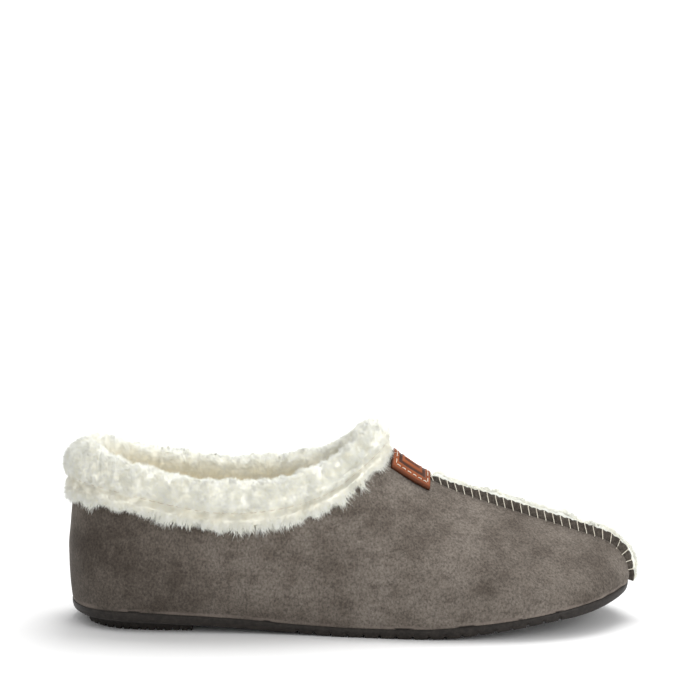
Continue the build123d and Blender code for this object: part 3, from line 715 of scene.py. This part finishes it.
def tag_surface(along, across, height):
    """Points of the tag at (0 to 1 along, -1 to 1 across), at heights above the skin."""
    low, normal = TAG_TABLE
    rows, columns = np.asarray(along) * 60, (np.asarray(across) + 1) * 36
    r, c = np.clip(rows.astype(int), 0, 59), np.clip(columns.astype(int), 0, 71)
    s, t = (rows - r)[..., None], (columns - c)[..., None]

    def sample(table):
        return ((1 - s) * (1 - t) * table[r, c] + s * (1 - t) * table[r + 1, c]
                + (1 - s) * t * table[r, c + 1] + s * t * table[r + 1, c + 1])

    return sample(low) + unit(sample(normal)) * np.asarray(height)[..., None]


TAG_TABLE = tag_base()


def edge_distance(along, across):
    """How far a point of the tag is inside its edge, in mm."""
    return np.minimum(np.minimum(along, 1 - along) * TAG_LENGTH, (1 - np.abs(across)) * TAG_HALF_WIDTH)


def tag_mark(along, across):
    """A plain pressed frame with two bars in it: 1 inside the lines and 0 outside."""
    x, y = (along - 0.5) * TAG_LENGTH, across * TAG_HALF_WIDTH
    frame_lines = np.maximum(np.abs(x) / 6.2, np.abs(y) / 5.4)
    ring = 1 - smooth((np.abs(frame_lines - 1) - 0.10) / 0.08)
    bars = (1 - smooth((np.abs(np.abs(y) - 2.0) - 0.75) / 0.25)) * (1 - smooth((np.abs(x) - 4.0) / 0.3))
    return np.maximum(ring, bars)


def make_tag():
    along, across = np.meshgrid(np.linspace(0, 1, 90), np.linspace(-1, 1, 121), indexing="ij")
    inside = edge_distance(along, across)
    mark = tag_mark(along, across)
    rounded = 0.45 * (1 - np.sqrt(np.clip(1 - (1 - np.clip(inside / 0.7, 0, 1))**2, 0, 1)))
    stitch_row = 0.16 * np.exp(-((inside - TAG_STITCH_MARGIN) / 0.45)**2)
    grain = 0.05 * noise(tag_surface(along, across, 0 * along), 1.6, 31)
    top = TAG_CLEAR + TAG_THICK - rounded - stitch_row - 0.28 * mark + grain
    outer = tag_surface(along, across, top)
    inner = tag_surface(along, across, 0 * along + TAG_CLEAR - 0.5)
    points, quads = shell_parts(outer, inner, flip=True)
    worn = np.clip(mark + 0.6 * (1 - smooth(inside / 0.8)), 0, 1)
    pressed = np.concatenate([worn.ravel(), np.ones(worn.size)])
    piece = mesh_piece("leather_label", points, [quads], "tag_leather", attributes={"pressed": pressed})
    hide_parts("leather_tag")


def make_tag_stitches():
    margin_a, margin_b = TAG_STITCH_MARGIN / TAG_LENGTH, TAG_STITCH_MARGIN / TAG_HALF_WIDTH
    width = 2 * TAG_HALF_WIDTH
    paths = []
    for fixed, span, runs_along in ((-1 + margin_b, TAG_LENGTH, True), (1 - margin_b, TAG_LENGTH, True),
                                    (margin_a, width, False), (1 - margin_a, width, False)):
        count = int((span - 2 * TAG_STITCH_MARGIN) / (TAG_STITCH * 1.35))
        for i in range(count):
            low = TAG_STITCH_MARGIN + (i + 0.12) * (span - 2 * TAG_STITCH_MARGIN) / count
            t = np.linspace(low, low + TAG_STITCH, 7) / span
            lift = TAG_CLEAR + TAG_THICK + 0.05 + 0.22 * np.sin(np.linspace(0, math.pi, 7)) - 0.2
            a, b = (t, np.full(7, fixed)) if runs_along else (np.full(7, fixed), t * 2 - 1)
            paths.append(tag_surface(a, b, lift))
    points, faces = join_tubes(paths, 0.19)
    piece = mesh_piece("tag_stitches", points, faces, "thread")
    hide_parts("tag_thread")
    return piece


# ------------------------------------------------------------------ fleece
def pile_piece(name, roots, ways, normals, lengths, width, seed, painted_depth_shade=0.0, curl=0.35):
    """Tapered three-sided locks of pile, bent a little, shaded like the cloth that they stand on."""
    rng = np.random.default_rng(seed)
    count = len(roots)
    bend = unit(np.cross(ways, rng.normal(size=(count, 3))))
    lengths = np.asarray(lengths)[:, None]
    middle = roots + ways * lengths * 0.5 + bend * lengths * curl * 0.25
    tip = roots + ways * lengths * 0.95 + bend * lengths * curl
    side_way = unit(np.cross(ways, rng.normal(size=(count, 3))))
    other = np.cross(ways, side_way)
    angles = np.radians((0, 120, 240))
    ring = side_way[:, None] * np.cos(angles)[None, :, None] + other[:, None] * np.sin(angles)[None, :, None]
    widths = (width * rng.uniform(0.7, 1.25, count))[:, None, None]
    low, high = roots[:, None] + ring * widths, middle[:, None] + ring * widths * 0.75
    points = np.concatenate([low, high, tip[:, None]], axis=1)
    soft = np.concatenate([unit(normals[:, None] + 0.3 * ring), unit(normals[:, None] + 0.6 * ring),
                           unit(normals + 0.5 * ways)[:, None]], axis=1)
    # Painted shade: a darker, warmer cream at the roots and middles of the locks, added to the painted shade of
    # where they stand.
    pile_shade = np.broadcast_to(painted_depth_shade, count)[:, None] + np.array([0.45, 0.45, 0.45, 0.12, 0.12, 0.12, 0.0])
    base = np.arange(count)[:, None, None] * 7
    quads = np.array([(0, 1, 4, 3), (1, 2, 5, 4), (2, 0, 3, 5)])[None] + base
    tips = np.array([(3, 4, 6), (4, 5, 6), (5, 3, 6), (2, 1, 0)])[None] + base
    return mesh_piece(name, points.reshape(-1, 3), [quads.reshape(-1, 4), tips.reshape(-1, 3)], "fleece",
                      {"painted_depth_shade": np.clip(pile_shade, 0, 1)}, soft.reshape(-1, 3))


def scatter(grid, normals, per_mm2, rng):
    """Random points spread evenly by area over a grid, with their normals and places in the grid."""
    a, b = grid[1:, :-1] - grid[:-1, :-1], grid[:-1, 1:] - grid[:-1, :-1]
    area = np.linalg.norm(np.cross(a, b), axis=-1).ravel()
    count = int(area.sum() * per_mm2)
    cell = rng.choice(len(area), count, p=area / area.sum())
    row, column = np.divmod(cell, grid.shape[1] - 1)
    s, t = rng.random(count)[:, None], rng.random(count)[:, None]

    def sample(table):
        return ((1 - s) * (1 - t) * table[row, column] + s * (1 - t) * table[row + 1, column]
                + (1 - s) * t * table[row, column + 1] + s * t * table[row + 1, column + 1])

    return sample(grid), unit(sample(normals)), row + s[:, 0], column + t[:, 0]


def tousled(points, normals, strength, seed):
    """Directions that lean together in tufts."""
    lean = np.stack([noise(points, 4.2, seed + k) + 0.6 * noise(points, 1.9, seed + 9 + k)
                     for k in range(3)], -1)
    return unit(normals + strength * lean)


# Steps of the collar: station, crest above the topline, the fringe's u and height, the crest's lean inwards.
COLLAR_STEPS = np.array([
    (0.0, 7.0, 0.0, 56.5, 2.6),
    (1.0, 7.2, 1.0, 57.0, 1.8),
    (2.0, 5.6, 2.0, 53.0, 0.6),
    (3.0, 5.5, 3.0, 47.0, 0.0),
    (4.0, 6.2, 4.0, 50.5, 0.0),
    (5.0, 8.5, 5.0, 60.0, 0.0),
])
FRINGE_RISE = 3.6          # the cloth ends this far above the tips of the pile
COLLAR_PILE_SHARE = 0.80   # the part of each section that shows, from the fringe over the crest inwards
CREASE_SHARE = 0.235       # where in each section the topstitching parts the pile
# The collar's section in the centre plane at the throat: x and z, from the fringe over the crest inwards.
THROAT_SECTION = ((144.2, 76.8), (145.2, 77.8), (145.8, 80.2), (145.2, 83.2), (144.4, 87.4), (141.6, 90.4),
                  (137.0, 90.6), (132.4, 88.4), (129.4, 83.4), (130.4, 77.4), (134.4, 73.6), (137.6, 78.2),
                  (140.0, 80.2))


def height_to_v(u, side, height):
    """The v at which the skin reaches a height."""
    v = np.linspace(0, 1, 200)
    return float(np.interp(height, skin(np.array([u]), v, side)[0, :, 2], v))


def collar_station(step, side):
    """Points of the collar's section, without its pile, from the fringe over the crest to the inside."""
    s, crest, fringe_u, fringe_z, lean = step
    fringe = np.array([fringe_u, height_to_v(fringe_u, side, fringe_z + FRINGE_RISE)])
    edge = np.array([s, 1.0])

    def on_wall(t, depth):
        u, v = fringe + (edge - fringe) * t
        return form(u, v, side, depth)[0, 0]

    if s == 0:
        out = np.array([-1.0, 0.0, 0.0])
    else:
        ahead, behind = topline(np.array([s + 0.01, s - 0.01]), side)
        out = unit(np.array([behind[1] - ahead[1], ahead[0] - behind[0], 0.0]))
        out[1] *= side
    top = on_wall(1, 0)
    points = [on_wall(0, -0.7), on_wall(0, -2.0), on_wall(0.16, -3.1), on_wall(0.40, -2.2),
              on_wall(0.66, -4.4),
              top + (4.4 - 0.6 * lean) * out + (0.1 * crest - 0.6 * lean) * UP,
              top + (0.2 - lean) * out + (0.78 * crest - 0.8 * lean) * UP,
              top - (5.0 + 0.4 * lean) * out + (0.55 * crest - 0.1 * lean) * UP,
              top - (8.2 + 0.6 * lean) * out - 0.3 * crest * UP,
              form(s, 0.86, side, 8.4)[0, 0], form(s, 0.80, side, 7.0)[0, 0],
              form(s, 0.97, side, 4.0)[0, 0], on_wall(0.85, -0.4)]
    return np.array(points)


def collar_grid(rows, columns):
    """The collar as a closed ring of closed sections: rows go round the foot opening from the throat."""
    throat = np.array([(x, 0.0, z) for x, z in THROAT_SECTION])
    lateral = [collar_station(step, LATERAL) for step in COLLAR_STEPS[::-1]]
    medial = [collar_station(step, MEDIAL) for step in COLLAR_STEPS[1:]]
    lateral[-1][:, 1] = 0
    ring = np.array([throat, *lateral, *medial])
    count, wrap = len(ring), 4
    padded = np.concatenate([ring[-wrap:], ring, ring[:wrap + 1]])
    rails = spline(padded, wrap + np.linspace(0, count, rows, endpoint=False))
    width = ring.shape[1]
    around = np.concatenate([rails[:, -wrap:], rails, rails[:, :wrap + 1]], axis=1)
    across = wrap + np.linspace(0, width, columns, endpoint=False)
    return np.swapaxes(spline(np.swapaxes(around, 0, 1), across), 0, 1)


def collar_lumps(points):
    return 0.80 * noise(points, 7.5, 41) + 0.70 * noise(points, 3.6, 42) + 0.42 * noise(points, 1.7, 43)


def make_collar():
    """The base cloth of the collar with its lumps, and the pile on it."""
    rows, columns = 640, 96
    grid = collar_grid(rows, columns)
    looped = np.concatenate([grid, grid[:1]])
    looped = np.concatenate([looped, looped[:, :1]], axis=1)
    normals = grid_normals(looped)
    middle = grid.mean(axis=1, keepdims=True)
    if ((looped[:-1, :-1] - middle) * normals[:-1, :-1]).sum() < 0:
        normals = -normals
    share = np.arange(columns + 1) / columns
    visible = smooth((COLLAR_PILE_SHARE - share) / 0.06)
    raised = looped + normals * (collar_lumps(looped) * visible[None, :])[..., None]
    base = raised[:-1, :-1]
    quads = grid_faces(rows, columns, closed=True)
    last = np.arange(columns)
    after = np.roll(last, -1)
    seam = np.stack([last + (rows - 1) * columns, last, after, after + (rows - 1) * columns], -1)
    # Painted shade: the collar cloth under the pile is a darker cream, more so inside the foot opening.
    painted_depth_shade = np.tile(np.clip(0.35 + inside_share(share[:-1]), 0, 1), rows)
    piece = mesh_piece("collar_cloth", base.reshape(-1, 3), [np.concatenate([quads, seam])[:, ::-1]], "fleece",
                       {"painted_depth_shade": painted_depth_shade})
    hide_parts("fleece_collar")
    with_pile = int(columns * COLLAR_PILE_SHARE)
    bumpy = grid_normals(raised)
    lumpy = unit(0.5 * normals + 0.5 * bumpy * np.sign((bumpy * normals).sum(-1))[..., None])
    add_collar_pile(raised[:, :with_pile], lumpy[:, :with_pile], columns)


def inside_share(share):
    """Painted shade for the collar: 0 on its outside, 0.8 far inside the foot opening."""
    return 0.8 * smooth((share - 0.52) / 0.2)


def add_collar_pile(grid, normals, columns):
    rng = np.random.default_rng(51)
    roots, outward, _, column = scatter(grid, normals, 6.5, rng)
    share = column / columns
    crease = np.exp(-((share - CREASE_SHARE) / 0.022)**2)
    # Painted shade: a band of darker, warmer cream where the topstitching parts the pile.
    crease_shade = np.exp(-((share - CREASE_SHARE + 0.03) / 0.07)**2)
    fringe = smooth((0.17 - share) / 0.10)
    droop = (0.30 + 1.2 * fringe) * smooth((0.50 - share) / 0.2)
    ways = tousled(roots, outward - UP * droop[:, None], 0.8, 61)
    tufts = 2.2 + 0.6 * noise(roots, 5.5, 71) + 1.0 * noise(roots, 2.6, 72)
    lengths = np.maximum(tufts, 0.7) * rng.uniform(0.6, 1.3, len(roots)) * (1 - 0.5 * crease)
    lengths = lengths * (1 + fringe * (0.7 + 0.6 * noise(roots, 9, 73)))
    inner = share > 0.50
    groups = np.floor(4 * (np.arctan2(roots[:, 1], roots[:, 0] - 75) / (2 * math.pi) + 0.5)).astype(int) % 4
    for part in range(4):
        for name, chosen in (("outer", ~inner), ("inner", inner)):
            mine = chosen & (groups == part)
            pile = pile_piece(f"collar_pile_{name}_{part + 1}", roots[mine] - outward[mine] * 0.3, ways[mine],
                              outward[mine], lengths[mine], 0.15, 81 + part,
                              inside_share(share[mine]) + 0.32 * crease_shade[mine])
            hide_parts("fleece_collar")


def make_collar_stitches():
    """The topstitching, half sunk in the pile where it parts."""
    columns = 96
    grid = collar_grid(900, columns)
    rail = grid[:, round(columns * CREASE_SHARE)]
    outward = unit(rail - grid.mean(axis=1))
    rail = rail + outward * 0.35
    distance = np.concatenate([[0], np.cumsum(np.linalg.norm(np.diff(rail, axis=0), axis=1))])
    paths = []
    for start in np.arange(4.0, distance[-1] - 8.0, 4.2):
        at = np.linspace(start, start + 3.2, 7)
        arch = 0.4 * np.sin(np.linspace(0, math.pi, 7))[:, None]
        along, out = (np.stack([np.interp(at, distance, table[:, k]) for k in range(3)], -1)
                      for table in (rail, outward))
        paths.append(along + out * arch)
    points, faces = join_tubes(paths, 0.18, 6)
    piece = mesh_piece("collar_stitches", points, faces, "thread")
    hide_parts("collar_thread")


SOCK_INSET = 5.0           # the footbed's fleece reaches out to the lining


def make_lining():
    """The inside of the upper: a lumpy fleece surface."""
    for name, side in SIDES.items():
        u, v = np.linspace(0, TOE - 0.4, 220), np.linspace(0.04, 0.97, 64)
        outer = form(u, v, side, 3.2)
        flat = form(u, v, side, 5.4)
        inner = form(u, v, side, 5.4 + 0.6 * noise(flat, 4.5, 45) + 0.3 * noise(flat, 2.2, 46))
        points, quads = shell_parts(inner, outer, flip=side == MEDIAL)
        # Painted shade: the lining is tinted a darker, warmer cream, as inside the shoe.
        painted_depth_shade = {"painted_depth_shade": np.full(len(points), 0.8)}
        piece = mesh_piece(f"lining_fleece_{name}", points, [quads], "fleece", painted_depth_shade)
        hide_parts(f"lining_{name}")


def make_sock():
    """The fleece footbed, slightly hollowed by the foot, with short pile."""
    u, across = np.linspace(0.35, TOE - 1.2, 200), np.linspace(0, 1, 60)
    edges = []
    for side in (LATERAL, MEDIAL):
        points, normal = feather(u, side)
        edges.append((points + normal * (SOLE_MARGIN - SOCK_INSET)) * (1, side, 1))
    flat = edges[0][:, None] * (1 - across)[None, :, None] + edges[1][:, None] * across[None, :, None]
    flat[..., 2] = profile(SOLE_TOP, flat[..., 0])
    rim = np.minimum(across, 1 - across)[None, :] * 60
    lumps = 0.5 * noise(flat, 5, 47) + 0.3 * noise(flat, 2.4, 48)
    top = flat + UP * (7.6 + lumps - 1.1 * (1 - smooth(rim / 3)))[..., None]
    points, quads = shell_parts(top, flat + UP * 6.1, flip=True)
    # Painted shade: the footbed and its pile are tinted a darker, warmer cream, as inside the shoe.
    piece = mesh_piece("footbed_fleece", points, [quads], "fleece", {"painted_depth_shade": np.full(len(points), 0.7)})
    rear = top[top[:, 0, 0] < 150]
    roots, outward, _, _ = scatter(rear, grid_normals(rear), 2.2, np.random.default_rng(101))
    lengths = 1.9 + 0.6 * noise(roots, 5, 104) + 0.4 * noise(roots, 2.2, 105)
    ways = tousled(roots, outward, 0.8, 106)
    pile = pile_piece("footbed_pile", roots, ways, outward, lengths, 0.18, 109, 0.35)
    for part in (piece, pile):
        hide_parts("footbed_sock")


def make_seam_fleece():
    """The fleece edge that stands up between the two turned suede edges."""
    points, _, normal, distance, stitches = seam_path()
    pinch = squeeze(distance, stitches)
    fade = smooth((distance[-1] - distance) / 5)
    past_tag = smooth((points[:, 0] - TAG_X[1] - 0.5) / 2)
    tufts = 0.25 + 0.8 * noise(points, 7, 91) + 0.5 * noise(points, 2.6, 93)
    high = welt_height(points[:, 0]) + past_tag * fade * (1.0 + tufts - 0.25 * pinch)
    wide = 1.0 + 0.15 * noise(points, 2.2, 92)
    sections = []
    half = ((-0.9, -1.2), (-1.0, 0.5), (-1.0, 0.85), (-0.55, 1.0))
    for y, z in half + tuple((-y, z) for y, z in half[::-1]):
        level = high * z if z > 0 else np.full(len(points), z)
        sections.append(points + normal * level[:, None] + np.outer(wide * y, (0, 1, 0)))
    grid = np.swapaxes(sections, 0, 1)
    quads = grid_faces(len(points), 8, closed=True, flip=True)
    caps = np.stack([np.arange(8), (np.arange(8) + (len(points) - 1) * 8)[::-1]])
    piece = mesh_piece("seam_fleece_core", grid.reshape(-1, 3), [quads, caps], "fleece")
    rng = np.random.default_rng(95)
    top = grid[past_tag > 0.3][:, 2:6]
    outward = unit(top - (points + normal * (0.6 * high)[:, None])[past_tag > 0.3][:, None])
    roots, outward, _, _ = scatter(top, outward, 14.0, rng)
    ways = tousled(roots, outward, 0.5, 97)
    lengths = rng.uniform(0.7, 1.8, len(roots)) * (1 + 0.7 * noise(roots, 4, 98))
    pile = pile_piece("seam_fleece_pile", roots, ways, outward, lengths, 0.14, 99)
    for part in (piece, pile):
        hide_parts("seam_fleece")


# ------------------------------------------------------------------ inner layers, stage, camera
def finish_inner_nodes():
    """The CAD nodes that stay get their materials."""
    for entry in frame["record"]["subparts"]:
        node = frame["nodes"][entry["node"]]
        node.data.materials.clear()
        node.data.materials.append(MATERIALS[entry["material_slot"]])


def make_stage():
    """A white floor that glows a little, more away from the slipper: painted light, as under a wide studio
    softbox.
    """
    mesh = bpy.data.meshes.new("floor")
    half = 12.0
    corners = [(-half, -half, 0), (half, -half, 0), (half, half, 0), (-half, half, 0)]
    mesh.from_pydata(corners, [], [(0, 1, 2, 3)])
    floor = bpy.data.objects.new("floor", mesh)
    bpy.context.scene.collection.objects.link(floor)
    material, nodes, links, shader = new_material("floor")
    shader.inputs["Base Color"].default_value = (0.93, 0.93, 0.93, 1)
    shader.inputs["Roughness"].default_value = 0.9
    coords = nodes.new("ShaderNodeTexCoord")
    reach = nodes.new("ShaderNodeVectorMath")
    reach.operation = "LENGTH"
    links.new(coords.outputs["Object"], reach.inputs[0])
    glow = nodes.new("ShaderNodeMapRange")
    glow.inputs["From Min"].default_value = 0.25
    glow.inputs["From Max"].default_value = 0.9
    glow.inputs["To Max"].default_value = 0.7
    links.new(reach.outputs["Value"], glow.inputs["Value"])
    shader.inputs["Emission Color"].default_value = (1, 1, 1, 1)
    links.new(glow.outputs["Result"], shader.inputs["Emission Strength"])
    mesh.materials.append(material)
    world = bpy.data.worlds.new("studio")
    world.use_nodes = True
    background = world.node_tree.nodes["Background"]
    background.inputs["Color"].default_value = (1, 1, 1, 1)
    background.inputs["Strength"].default_value = 0.72
    bpy.context.scene.world = world


def add_light(name, location, size, power, target=(0, 0, 0.04)):
    data = bpy.data.lights.new(name, "AREA")
    data.shape = "SQUARE"
    data.size = size
    data.energy = power
    light = bpy.data.objects.new(name, data)
    light.location = location
    light.rotation_euler = (Vector(target) - Vector(location)).to_track_quat("-Z", "Y").to_euler()
    bpy.context.scene.collection.objects.link(light)


def make_camera():
    distance, elevation, frame_width = 1.4, math.radians(10), 0.3192
    aim = Vector((SHIFT[0] / 1000 + 0.1277, 0, 0.1248))
    data = bpy.data.cameras.new("camera")
    data.sensor_width = 36
    data.lens = 36 * distance / frame_width
    camera = bpy.data.objects.new("camera", data)
    back = Vector((0, -math.cos(elevation), math.sin(elevation)))
    camera.location = aim + back * distance
    camera.rotation_euler = back.to_track_quat("Z", "Y").to_euler()
    bpy.context.scene.collection.objects.link(camera)
    bpy.context.scene.camera = camera


make_camera()
for side_name, side_sign in SIDES.items():
    make_suede(side_name, side_sign)
    make_welt(side_name, side_sign)
make_outsole()
make_whip_stitches()
make_tag()
make_tag_stitches()
make_collar()
make_collar_stitches()
make_lining()
make_sock()
make_seam_fleece()
finish_inner_nodes()
make_stage()
add_light("key", (0.12, 0.42, 1.10), 0.7, 10)
add_light("fill", (1.10, -0.90, 0.60), 0.9, 7)
bpy.context.scene.view_settings.view_transform = "Standard"
